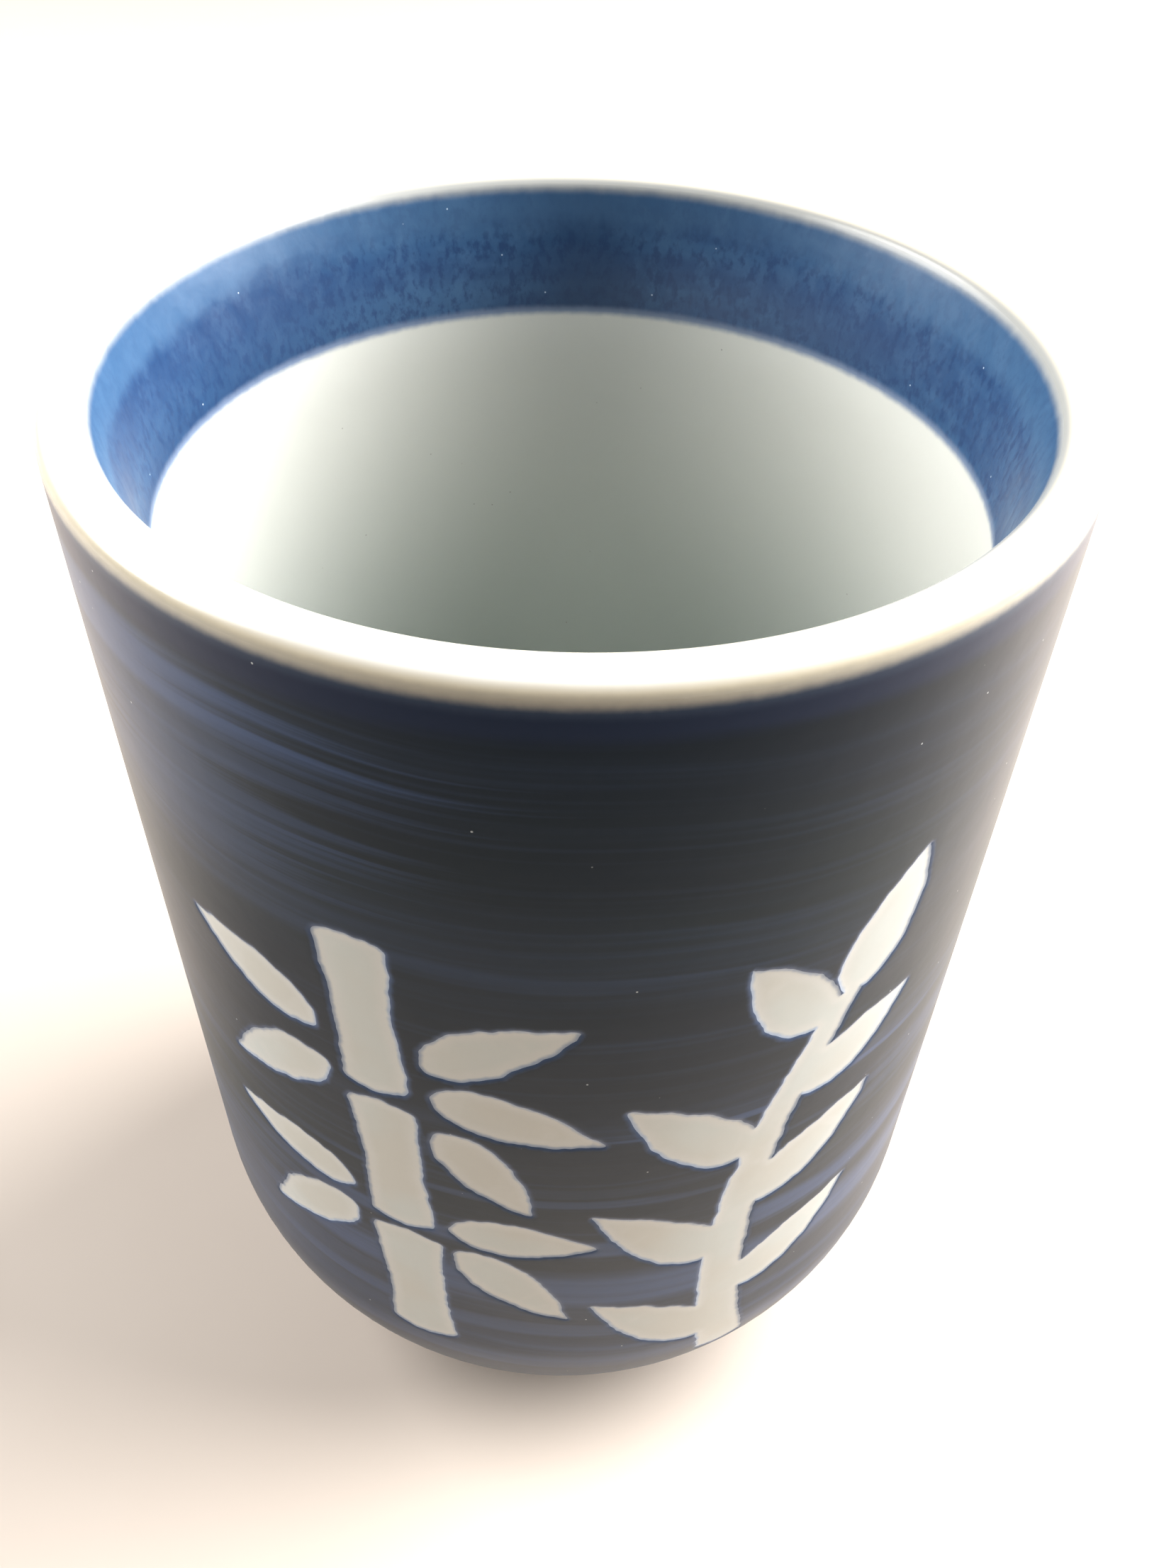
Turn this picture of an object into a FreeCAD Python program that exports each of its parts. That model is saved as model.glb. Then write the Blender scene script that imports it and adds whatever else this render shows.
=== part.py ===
"""A tall Japanese teacup without a handle (a yunomi): its fired body, its foot ring and each layer of glaze.

Frame, in millimetres: the origin is on the table under the cup's axis, +Z is up, and the decorated front
faces -Y.
"""

import FreeCAD
import Part
import math
import os

os.makedirs("parts", exist_ok=True)

# Driving dimensions of the cup.
HEIGHT = 103.0
OUTER_R = 37.0
INNER_R = 31.2
GLAZE = 0.4  # thickness of every glaze coat
RESERVE_STEP = 0.15  # how far the white figures lie below the blue coat round them

# Lip: two small roundings with a narrow level top between them.
LIP_OUT_R = 1.5
LIP_IN_R = 1.3
LIP_IN_CENTRE_R = 34.7
LIP_GLAZE_OUT_DEG = 15.0  # where the white lip gives way to the blue, round the outer rounding
LIP_GLAZE_IN_DEG = 143.0  # and round the inner rounding

# Mouth: the inside wall flares gently up to the lip, and the blue band covers most of the flare.
MOUTH_R = 50.0
MOUTH_DEG = 17.3
BAND_LOW_DEG = 5.3

# Outside of the base: a gentle turn, then a tighter heel, then a straight run in to the foot ring.
TURN_Z = 24.75
TURN_R = 27.4
TURN_DEG = 26.0
HEEL_R = 16.0
HEEL_DEG = 72.0

# Inside of the base.
FLOOR_Z = 11.5
CORNER_R = 12.0

# Foot ring and the shallow well inside it.
SEAT_Z = 4.05  # where the ring meets the body
WELL_Z = 5.1
FOOT_IN_R = 18.5
FOOT_BOTTOM_OUT_R = 21.4
FOOT_ROUND_R = 0.5

# Decoration: two plant figures left white in the blue coat, each drawn flat and carried straight back to
# the wall.
BAMBOO_DEG = -20.0  # round from the front, towards +X
SPRAY_DEG = 23.0
STENCIL_NEAR = 42.0
STENCIL_DEPTH = 26.0


def at(r, z):
    """A point of the half section, r out from the axis."""
    return FreeCAD.Vector(r, 0, z)


def polar(centre, radius, degrees):
    """The point of a circle of the half section at an angle up from straight out."""
    angle = math.radians(degrees)
    return centre + at(radius * math.cos(angle), radius * math.sin(angle))


def arc(centre, radius, start, end):
    """An arc of the half section between two angles in degrees."""
    middle = polar(centre, radius, (start + end) / 2)
    return Part.Arc(polar(centre, radius, start), middle, polar(centre, radius, end)).toShape()


LIP_OUT_C = at(OUTER_R - LIP_OUT_R, HEIGHT - LIP_OUT_R)
LIP_IN_C = at(LIP_IN_CENTRE_R, HEIGHT - LIP_IN_R)
MOUTH_TOP_DEG = 180.0 - MOUTH_DEG
MOUTH_C = polar(LIP_IN_C, LIP_IN_R - MOUTH_R, MOUTH_TOP_DEG)
BAND_DEG = 180.0 - BAND_LOW_DEG
TURN_C = at(OUTER_R - TURN_R, TURN_Z)
HEEL_C = polar(TURN_C, TURN_R - HEEL_R, -TURN_DEG)
CORNER_C = at(INNER_R - CORNER_R, FLOOR_Z + CORNER_R)


# Each path below is one stretch of the cup's skin, depth mm below the glazed surface.
def lip_path(depth):
    """The white lip, from outside to inside."""
    top_out = polar(LIP_OUT_C, LIP_OUT_R - depth, 90)
    top_in = polar(LIP_IN_C, LIP_IN_R - depth, 90)
    return [
        arc(LIP_OUT_C, LIP_OUT_R - depth, LIP_GLAZE_OUT_DEG, 90),
        Part.makeLine(top_out, top_in),
        arc(LIP_IN_C, LIP_IN_R - depth, 90, LIP_GLAZE_IN_DEG),
    ]


def heel_end(depth):
    """Where the straight run under the heel meets the plane of the foot ring's seat."""
    start = polar(HEEL_C, HEEL_R - depth, -HEEL_DEG)
    run = (start.z - SEAT_Z) * math.tan(math.radians(HEEL_DEG))
    return at(start.x - run, SEAT_Z)


def outside_path(depth):
    """The blue outside, from the lip down to the foot ring."""
    wall_top = polar(LIP_OUT_C, LIP_OUT_R - depth, 0)
    wall_low = polar(TURN_C, TURN_R - depth, 0)
    heel_low = polar(HEEL_C, HEEL_R - depth, -HEEL_DEG)
    return [
        arc(LIP_OUT_C, LIP_OUT_R - depth, LIP_GLAZE_OUT_DEG, 0),
        Part.makeLine(wall_top, wall_low),
        arc(TURN_C, TURN_R - depth, 0, -TURN_DEG),
        arc(HEEL_C, HEEL_R - depth, -TURN_DEG, -HEEL_DEG),
        Part.makeLine(heel_low, heel_end(depth)),
    ]


def band_path(depth):
    """The blue band inside the mouth, from the lip down."""
    return [
        arc(LIP_IN_C, LIP_IN_R - depth, LIP_GLAZE_IN_DEG, MOUTH_TOP_DEG),
        arc(MOUTH_C, MOUTH_R - depth, MOUTH_TOP_DEG, BAND_DEG),
    ]


def liner_path(depth):
    """The white inside below the band, down the wall and across the floor to the axis."""
    wall_top = polar(MOUTH_C, MOUTH_R - depth, 180)
    wall_low = polar(CORNER_C, CORNER_R + depth, 0)
    floor_out = polar(CORNER_C, CORNER_R + depth, -90)
    return [
        arc(MOUTH_C, MOUTH_R - depth, BAND_DEG, 180),
        Part.makeLine(wall_top, wall_low),
        arc(CORNER_C, CORNER_R + depth, 0, -90),
        Part.makeLine(floor_out, at(0, floor_out.z)),
    ]


def turned(edges):
    """The solid that a closed half section sweeps round the axis."""
    face = Part.Face(Part.Wire(Part.__sortEdges__(edges)))
    return face.revolve(FreeCAD.Vector(0, 0, 0), FreeCAD.Vector(0, 0, 1), 360)


def coat(path, top=0.0, bottom=GLAZE):
    """A layer of even thickness along one path, between two depths below the surface."""
    upper = path(top)
    lower = path(bottom)
    start = Part.makeLine(upper[0].firstVertex(True).Point, lower[0].firstVertex(True).Point)
    end = Part.makeLine(upper[-1].lastVertex(True).Point, lower[-1].lastVertex(True).Point)
    return turned([*upper, end, *lower, start])


def porcelain_body():
    """The thick fired wall and floor, under the glaze."""
    seat_out = heel_end(GLAZE)
    seat_in = at(FOOT_IN_R, SEAT_Z)
    well_out = at(FOOT_IN_R, WELL_Z + GLAZE)
    well_centre = at(0, WELL_Z + GLAZE)
    edges = [*outside_path(GLAZE), *lip_path(GLAZE), *band_path(GLAZE), *liner_path(GLAZE)]
    edges += [
        Part.makeLine(at(0, FLOOR_Z - GLAZE), well_centre),
        Part.makeLine(well_centre, well_out),
        Part.makeLine(well_out, seat_in),
        Part.makeLine(seat_in, seat_out),
    ]
    return turned(edges)


def foot_ring():
    """The bare ring that the cup stands on, narrowing a little towards the table, its lower edges rounded."""
    seat_out = heel_end(GLAZE)
    seat_in = at(FOOT_IN_R, SEAT_Z)
    outer_round = at(FOOT_BOTTOM_OUT_R - FOOT_ROUND_R, FOOT_ROUND_R)
    inner_round = at(FOOT_IN_R + FOOT_ROUND_R, FOOT_ROUND_R)
    return turned([
        Part.makeLine(seat_in, seat_out),
        Part.makeLine(seat_out, polar(outer_round, FOOT_ROUND_R, 0)),
        arc(outer_round, FOOT_ROUND_R, 0, -90),
        Part.makeLine(polar(outer_round, FOOT_ROUND_R, -90), polar(inner_round, FOOT_ROUND_R, -90)),
        arc(inner_round, FOOT_ROUND_R, -90, -180),
        Part.makeLine(polar(inner_round, FOOT_ROUND_R, -180), seat_in),
    ])


def foot_well_glaze():
    """The glazed disc under the cup, inside the foot ring."""
    return Part.makeCylinder(FOOT_IN_R, GLAZE, FreeCAD.Vector(0, 0, WELL_Z))


def drawn(u, z):
    """A point of a figure's flat drawing, u to the right of the figure's middle."""
    return FreeCAD.Vector(u, -STENCIL_NEAR, z)


def smooth(points):
    """A smooth edge through points of the drawing."""
    curve = Part.BSplineCurve()
    curve.interpolate(points)
    return curve.toShape()


# Share of the length, and half width there as a share of the greatest, from a leaf's base to its tip.
LEAF_FORM = [(0.0, 0.0), (0.1, 0.61), (0.36, 1.0), (0.7, 0.7), (1.0, 0.0)]


def leaf(u, z, heading, length, width, bend):
    """A pointed leaf from its base at (u, z), bending to its left by a share of its length."""
    along = FreeCAD.Vector(math.cos(math.radians(heading)), 0, math.sin(math.radians(heading)))
    across = FreeCAD.Vector(-along.z, 0, along.x)
    sides = []
    for side in (-1, 1):
        points = []
        for share, half in LEAF_FORM:
            offset = side * half * width / 2 + bend * length * share * share
            points.append(drawn(u, z) + along * (share * length) + across * offset)
        sides.append(smooth(points))
    return Part.Face(Part.Wire(sides))


def cane(u_low, z_low, u_high, z_high, width):
    """One joint of a bamboo cane: waisted sides between two bulging ends."""
    waist = 0.43 * width
    flare = 0.5 * width
    bulge = 0.12 * width
    u_mid = (u_low + u_high) / 2
    z_mid = (z_low + z_high) / 2
    corners = [
        drawn(u_low - flare, z_low),
        drawn(u_low + flare, z_low),
        drawn(u_high + flare, z_high),
        drawn(u_high - flare, z_high),
    ]
    middles = [
        drawn(u_low, z_low - bulge),
        drawn(u_mid + waist, z_mid),
        drawn(u_high, z_high + bulge),
        drawn(u_mid - waist, z_mid),
    ]
    edges = []
    for i, middle in enumerate(middles):
        edges.append(Part.Arc(corners[i], middle, corners[(i + 1) % 4]).toShape())
    return Part.Face(Part.Wire(edges))


def stem(points, width_low, width_high):
    """A tapering stem along points from its rounded foot to its tip."""
    left = []
    right = []
    for i, (u, z) in enumerate(points):
        half = (width_low + (width_high - width_low) * i / (len(points) - 1)) / 2
        left.append(drawn(u - half, z))
        right.append(drawn(u + half, z))
    foot_low = drawn(points[0][0], points[0][1] - 0.2 * width_low)
    foot = Part.Arc(left[0], foot_low, right[0]).toShape()
    tip = Part.makeLine(left[-1], right[-1])
    return Part.Face(Part.Wire([foot, smooth(right), tip, smooth(left)]))


def bamboo():
    """A cane of three joints, with leaves at its rings."""
    joints = [
        cane(0.4, 24.6, -0.2, 41.5, 6.6),
        cane(-0.3, 43.9, -0.9, 60.3, 6.1),
        cane(-1.0, 62.7, -1.7, 79.0, 5.6),
    ]
    leaves = [
        leaf(2.7, 66.5, 40, 13.0, 5.2, -0.16),
        leaf(2.9, 63.4, -10, 13.5, 5.4, -0.16),
        leaf(3.4, 58.9, -50, 12.5, 5.2, -0.1),
        leaf(-5.3, 67.4, 150, 12.5, 5.2, 0.12),
        leaf(-4.9, 63.2, 206, 13.0, 5.2, 0.12),
        leaf(-4.5, 46.2, 160, 12.5, 5.2, 0.16),
        leaf(-4.6, 43.0, 214, 14.0, 5.6, 0.12),
        leaf(3.6, 44.4, 4, 12.0, 5.2, -0.16),
        leaf(4.0, 41.1, -42, 14.0, 5.6, -0.1),
    ]
    return joints + leaves


def spray():
    """A rising stem with alternate leaves and one at its tip."""
    stalk = stem([(1.5, 18.0), (-0.3, 31.0), (0.0, 46.0), (2.8, 60.0), (6.6, 70.5)], 4.8, 2.6)
    leaves = [
        leaf(0.4, 24.0, 150, 15.5, 6.0, -0.12),
        leaf(0.0, 31.0, 30, 15.5, 6.0, 0.12),
        leaf(-0.2, 39.0, 148, 15.5, 6.0, -0.12),
        leaf(0.2, 46.0, 32, 15.0, 6.0, 0.12),
        leaf(0.8, 54.0, 146, 14.5, 6.0, -0.12),
        leaf(3.0, 60.0, 24, 12.5, 5.8, 0.12),
        leaf(5.4, 68.0, 136, 12.5, 5.8, -0.12),
        leaf(6.4, 70.0, 66, 14.0, 6.0, 0.05),
    ]
    return [stalk, *leaves]


def stencil(faces, degrees):
    """A figure as one prism through the wall, turned to its place round the cup."""
    prisms = [face.extrude(FreeCAD.Vector(0, STENCIL_DEPTH, 0)) for face in faces]
    block = prisms[0].multiFuse(prisms[1:])
    block.rotate(FreeCAD.Vector(0, 0, 0), FreeCAD.Vector(0, 0, 1), degrees)
    return block


def main():
    bamboo_cut = stencil(bamboo(), BAMBOO_DEG)
    spray_cut = stencil(spray(), SPRAY_DEG)
    reserve_layer = coat(outside_path, RESERVE_STEP)
    nodes = {
        "porcelain_body": porcelain_body(),
        "foot_ring": foot_ring(),
        "foot_well_glaze": foot_well_glaze(),
        "lip_glaze": coat(lip_path),
        "outer_cobalt_glaze": coat(outside_path).cut([bamboo_cut, spray_cut]),
        "bamboo_reserve": reserve_layer.common(bamboo_cut),
        "leaf_spray_reserve": reserve_layer.common(spray_cut),
        "inner_cobalt_band": coat(band_path),
        "inner_liner_glaze": coat(liner_path),
    }
    for name, shape in nodes.items():
        shape.exportStep(f"parts/{name}.step")


main()
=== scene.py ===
import math

import bpy
import numpy as np
from mathutils import Matrix, Vector
from mathutils.geometry import delaunay_2d_cdt
from mathutils.kdtree import KDTree


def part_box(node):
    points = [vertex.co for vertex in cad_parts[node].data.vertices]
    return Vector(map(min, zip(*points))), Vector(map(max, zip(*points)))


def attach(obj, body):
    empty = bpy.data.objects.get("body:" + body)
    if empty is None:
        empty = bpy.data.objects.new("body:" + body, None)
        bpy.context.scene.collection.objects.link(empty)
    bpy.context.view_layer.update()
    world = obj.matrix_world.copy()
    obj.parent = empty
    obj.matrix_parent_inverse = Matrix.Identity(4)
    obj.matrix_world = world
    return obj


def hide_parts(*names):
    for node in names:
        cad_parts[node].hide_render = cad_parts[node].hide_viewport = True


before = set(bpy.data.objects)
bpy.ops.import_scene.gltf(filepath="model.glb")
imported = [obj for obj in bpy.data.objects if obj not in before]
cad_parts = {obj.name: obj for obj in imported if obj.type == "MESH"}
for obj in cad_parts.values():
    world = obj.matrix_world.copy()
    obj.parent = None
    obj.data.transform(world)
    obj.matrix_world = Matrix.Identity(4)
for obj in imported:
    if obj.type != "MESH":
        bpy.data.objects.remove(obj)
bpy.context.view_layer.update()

MM = 0.001
GLAZE = 0.4  # thickness of a coat, in mm

# The cup's main sizes in mm, read from the frame.
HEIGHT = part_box("lip_glaze")[1].z / MM
OUTER_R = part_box("outer_cobalt_glaze")[1].x / MM
FOOT_TOP_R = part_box("foot_ring")[1].x / MM
SEAT_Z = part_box("foot_ring")[1].z / MM
WELL_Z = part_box("foot_well_glaze")[0].z / MM
WELL_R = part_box("foot_well_glaze")[1].x / MM
FLOOR_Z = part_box("inner_liner_glaze")[0].z / MM + GLAZE

# Roundings of the section, in mm and degrees up from straight out, as the frame has them.
LIP_OUT_R = 1.5
LIP_IN_R = 1.3
LIP_IN_CENTRE_R = 34.7
LIP_OUT_DEG = 15.0
LIP_IN_DEG = 143.0
MOUTH_R = 50.0
MOUTH_DEG = 17.3
BAND_LOW_DEG = 5.3
INNER_R = 31.2
TURN_Z = 24.75
TURN_R = 27.4
TURN_DEG = 26.0
HEEL_R = 16.0
HEEL_DEG = 72.0
CORNER_R = 12.0
FOOT_BOTTOM_OUT_R = 21.4
FOOT_ROUND_R = 0.5
FOOT_SIDE_NORMAL = (1, -0.12)

# Spacing in mm of the points along each stretch of the section.
LIP_STEP = 0.18
LIP_TOP_STEP = 0.2
BLUE_TOP_STEP = 0.13
WALL_STEP = 1.9
TURN_STEP = 1.3
HEEL_STEP = 0.9
BAND_TOP_STEP = 0.12
BAND_STEP = 0.5
INSIDE_STEP = 0.9
STRAIGHT_STEP = 2.0
FOOT_STEP = 0.4
FOOT_ROUND_STEP = 0.1
FOOT_SEAT_STEP = 0.3

# Points round a turned coat, and the thickness in mm of the foot ring's skin.
COLUMNS = 240
FOOT_COLUMNS = 200
WELL_COLUMNS = 160
FOOT_SKIN = 0.25
ON_AXIS = 1e-6

rng = np.random.default_rng(7)


# ---------------------------------------------------------------- section of the cup

def arc(centre, radius, start, end, step, side=1):
    """Rows of (r, z, normal r, normal z) round an arc; side -1 where the surface faces the centre."""
    count = max(2, math.ceil(abs(math.radians(end - start)) * radius / step) + 1)
    angle = np.radians(np.linspace(start, end, count))
    out = np.stack([np.cos(angle), np.sin(angle)], 1)
    return np.hstack([np.array(centre) + radius * out, side * out])


def run(start, end, normal, step):
    """Rows of (r, z, normal r, normal z) along a straight stretch."""
    start, end = np.array(start), np.array(end)
    count = max(2, math.ceil(np.linalg.norm(end - start) / step) + 1)
    share = np.linspace(0, 1, count)[:, None]
    return np.hstack([start + (end - start) * share, np.tile(normal, (count, 1))])


def joined(*stretches):
    """Stretches end to end, without the doubled points."""
    rows = [stretches[0]]
    rows += [stretch[1:] for stretch in stretches[1:]]
    return np.vstack(rows)


def polar(centre, radius, degrees):
    """The point on a circle at an angle up from straight out."""
    angle = math.radians(degrees)
    return centre[0] + radius * math.cos(angle), centre[1] + radius * math.sin(angle)


LIP_OUT_C = (OUTER_R - LIP_OUT_R, HEIGHT - LIP_OUT_R)
LIP_IN_C = (LIP_IN_CENTRE_R, HEIGHT - LIP_IN_R)
MOUTH_TOP_DEG = 180 - MOUTH_DEG
MOUTH_C = polar(LIP_IN_C, LIP_IN_R - MOUTH_R, MOUTH_TOP_DEG)
BAND_DEG = 180 - BAND_LOW_DEG
BAND_Z = polar(MOUTH_C, MOUTH_R, BAND_DEG)[1]
BLUE_TOP_Z = polar(LIP_OUT_C, LIP_OUT_R, LIP_OUT_DEG)[1]
BAND_TOP_Z = polar(LIP_IN_C, LIP_IN_R, LIP_IN_DEG)[1]
TURN_C = (OUTER_R - TURN_R, TURN_Z)
HEEL_C = polar(TURN_C, TURN_R - HEEL_R, -TURN_DEG)
CORNER_C = (INNER_R - CORNER_R, FLOOR_Z + CORNER_R)


def lip_section():
    return joined(
        arc(LIP_OUT_C, LIP_OUT_R, LIP_OUT_DEG, 90, LIP_STEP),
        run(polar(LIP_OUT_C, LIP_OUT_R, 90), polar(LIP_IN_C, LIP_IN_R, 90), (0, 1), LIP_TOP_STEP),
        arc(LIP_IN_C, LIP_IN_R, 90, LIP_IN_DEG, LIP_STEP),
    )


def outside_section():
    heel_low = polar(HEEL_C, HEEL_R, -HEEL_DEG)
    tilt = math.radians(HEEL_DEG)
    heel_end = (heel_low[0] - (heel_low[1] - SEAT_Z) * math.tan(tilt), SEAT_Z)
    return joined(
        arc(LIP_OUT_C, LIP_OUT_R, LIP_OUT_DEG, 0, BLUE_TOP_STEP),
        run((OUTER_R, LIP_OUT_C[1]), (OUTER_R, TURN_Z), (1, 0), WALL_STEP),
        arc(TURN_C, TURN_R, 0, -TURN_DEG, TURN_STEP),
        arc(HEEL_C, HEEL_R, -TURN_DEG, -HEEL_DEG, HEEL_STEP),
        run(heel_low, heel_end, (math.cos(tilt), -math.sin(tilt)), HEEL_STEP),
    )


def band_section():
    return joined(
        arc(LIP_IN_C, LIP_IN_R, LIP_IN_DEG, MOUTH_TOP_DEG, BAND_TOP_STEP),
        arc(MOUTH_C, MOUTH_R, MOUTH_TOP_DEG, BAND_DEG, BAND_STEP),
    )


def liner_section():
    wall_top = polar(MOUTH_C, MOUTH_R, 180)
    wall_low = polar(CORNER_C, CORNER_R, 0)
    floor_out = polar(CORNER_C, CORNER_R, -90)
    return joined(
        arc(MOUTH_C, MOUTH_R, BAND_DEG, 180, INSIDE_STEP),
        run(wall_top, wall_low, (-1, 0), STRAIGHT_STEP),
        arc(CORNER_C, CORNER_R, 0, -90, INSIDE_STEP, side=-1),
        run(floor_out, (0, floor_out[1]), (0, 1), STRAIGHT_STEP),
    )


def foot_section():
    outer_round = (FOOT_BOTTOM_OUT_R - FOOT_ROUND_R, FOOT_ROUND_R)
    inner_round = (WELL_R + FOOT_ROUND_R, FOOT_ROUND_R)
    inner_seat = polar(inner_round, FOOT_ROUND_R, -90)
    outer_seat = polar(outer_round, FOOT_ROUND_R, -90)
    outer_low = polar(outer_round, FOOT_ROUND_R, 0)
    return joined(
        run((WELL_R, SEAT_Z), polar(inner_round, FOOT_ROUND_R, -180), (-1, 0), FOOT_STEP),
        arc(inner_round, FOOT_ROUND_R, -180, -90, FOOT_ROUND_STEP),
        run(inner_seat, outer_seat, (0, -1), FOOT_SEAT_STEP),
        arc(outer_round, FOOT_ROUND_R, -90, 0, FOOT_ROUND_STEP),
        run(outer_low, (FOOT_TOP_R, SEAT_Z), FOOT_SIDE_NORMAL, FOOT_STEP),
    )


def well_section():
    return joined(run((0, WELL_Z), (WELL_R, WELL_Z), (0, -1), STRAIGHT_STEP))


# ---------------------------------------------------------------- mesh making

def make_piece(name, points, faces, material, slot, sharp=None, attributes=None):
    """A smooth-shaded mesh object from points in mm; sharp is a set of vertex pairs kept crisp."""
    mesh = bpy.data.meshes.new(name)
    mesh.from_pydata((np.asarray(points) * MM).tolist(), [], [list(face) for face in faces])
    mesh.shade_smooth()
    if sharp:
        crisp = mesh.attributes.new("sharp_edge", "BOOLEAN", "EDGE")
        ends = np.empty(len(mesh.edges) * 2, int)
        mesh.edges.foreach_get("vertices", ends)
        pairs = np.sort(ends.reshape(-1, 2), 1)
        crisp.data.foreach_set("value", [tuple(pair) in sharp for pair in pairs.tolist()])
    for key, values in (attributes or {}).items():
        layer = mesh.attributes.new(key, "FLOAT", "POINT")
        layer.data.foreach_set("value", np.asarray(values, float))
    mesh.materials.append(material)
    mesh.update()
    piece = bpy.data.objects.new(name, mesh)
    bpy.context.collection.objects.link(piece)
    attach(piece, "root")
    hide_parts(slot)
    return piece


def turned_coat(name, section, material, slot, columns=COLUMNS, depth=GLAZE):
    """A closed coat of even thickness that sweeps a section round the axis; it may end on the axis."""
    turn = np.linspace(0, 2 * math.pi, columns, endpoint=False)
    ring = np.stack([np.sin(turn), -np.cos(turn)], 1)
    skin = section[:, :2]
    back = section[:, :2] - depth * section[:, 2:]
    loop = np.vstack([skin, back[::-1]])
    points = []
    starts = []
    for r, z in loop:
        starts.append(len(points))
        if r < ON_AXIS:
            points.append((0, 0, z))
        else:
            points += [(r * x, r * y, z) for x, y in ring]
    faces = []
    crisp = set()
    size = len(loop)
    corners = {0, len(skin) - 1, len(skin), size - 1}
    for i in range(size):
        j = (i + 1) % size
        pole_i, pole_j = loop[i][0] < ON_AXIS, loop[j][0] < ON_AXIS
        for k in range(columns):
            m = (k + 1) % columns
            a, b = starts[i] + (0 if pole_i else k), starts[i] + (0 if pole_i else m)
            c, d = starts[j] + (0 if pole_j else m), starts[j] + (0 if pole_j else k)
            face = [a, b, c, d]
            face = [v for n, v in enumerate(face) if v not in face[:n]]
            if len(face) > 2:
                faces.append(face)
            if i in corners and not pole_i:
                crisp.add((min(a, b), max(a, b)))
    return make_piece(name, points, faces, material, slot, crisp)


# ---------------------------------------------------------------- figures, drawn flat

# Lengths here are in mm: u to the right of a figure's middle, and z up from the seat.

# Share of the length, and half width there as a share of the greatest, from a leaf's base to its tip.
LEAF_FORM = [(0.0, 0.0), (0.1, 0.61), (0.36, 1.0), (0.7, 0.7), (1.0, 0.0)]
BOW_STEP = 0.6  # mm between points of a shallow curve


def smooth(points, per_span=14):
    """Points along a natural spline through the given points, spaced by chord length."""
    points = np.array(points, float)
    knots = np.concatenate([[0], np.cumsum(np.linalg.norm(np.diff(points, axis=0), axis=1))])
    size = len(points)
    gap = np.diff(knots)
    matrix = np.eye(size)
    right = np.zeros((size, 2))
    for i in range(1, size - 1):
        matrix[i, i - 1:i + 2] = gap[i - 1], 2 * (gap[i - 1] + gap[i]), gap[i]
        right[i] = 6 * ((points[i + 1] - points[i]) / gap[i] - (points[i] - points[i - 1]) / gap[i - 1])
    bend = np.linalg.solve(matrix, right)
    rows = []
    for i in range(size - 1):
        ahead = np.linspace(0, gap[i], per_span, endpoint=False)[:, None]
        back = gap[i] - ahead
        rows.append((bend[i] * back ** 3 + bend[i + 1] * ahead ** 3) / (6 * gap[i])
                    + (points[i] / gap[i] - bend[i] * gap[i] / 6) * back
                    + (points[i + 1] / gap[i] - bend[i + 1] * gap[i] / 6) * ahead)
    return np.vstack([*rows, points[-1:]])


def leaf(u, z, heading, length, width, bend):
    """A pointed leaf from its base, bending to its left by a share of its length."""
    along = np.array([math.cos(math.radians(heading)), math.sin(math.radians(heading))])
    across = np.array([-along[1], along[0]])
    sides = []
    for side in (-1, 1):
        points = []
        for share, half in LEAF_FORM:
            offset = side * half * width / 2 + bend * length * share * share
            points.append(np.array([u, z]) + share * length * along + offset * across)
        sides.append(smooth(points))
    right, left = sides
    return np.vstack([right, left[-2:0:-1]])


def bow(start, middle, end):
    """Points of a shallow curve through three points, without the last."""
    count = max(4, int(np.linalg.norm(np.subtract(end, start)) / BOW_STEP))
    share = np.linspace(0, 1, count)[:-1, None]
    start, middle, end = map(np.array, (start, middle, end))
    control = 2 * middle - (start + end) / 2
    return (1 - share) ** 2 * start + 2 * share * (1 - share) * control + share ** 2 * end


def cane(u_low, z_low, u_high, z_high, width):
    """One joint of a bamboo cane: waisted sides between two bulging ends."""
    waist, flare, bulge = 0.43 * width, 0.5 * width, 0.12 * width
    u_mid, z_mid = (u_low + u_high) / 2, (z_low + z_high) / 2
    corners = [
        (u_low - flare, z_low),
        (u_low + flare, z_low),
        (u_high + flare, z_high),
        (u_high - flare, z_high),
    ]
    middles = [
        (u_low, z_low - bulge),
        (u_mid + waist, z_mid),
        (u_high, z_high + bulge),
        (u_mid - waist, z_mid),
    ]
    return np.vstack([bow(corners[i], middles[i], corners[(i + 1) % 4]) for i in range(4)])


def stem(points, width_low, width_high):
    """A tapering stem along points from its rounded foot to its tip."""
    points = np.array(points, float)
    half = np.linspace(width_low, width_high, len(points)) / 2
    right = np.stack([points[:, 0] + half, points[:, 1]], 1)
    left = np.stack([points[:, 0] - half, points[:, 1]], 1)
    foot = bow(left[0], points[0] - (0, 0.2 * width_low), right[0])
    return np.vstack([foot, smooth(right), smooth(left)[:0:-1]])


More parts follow.
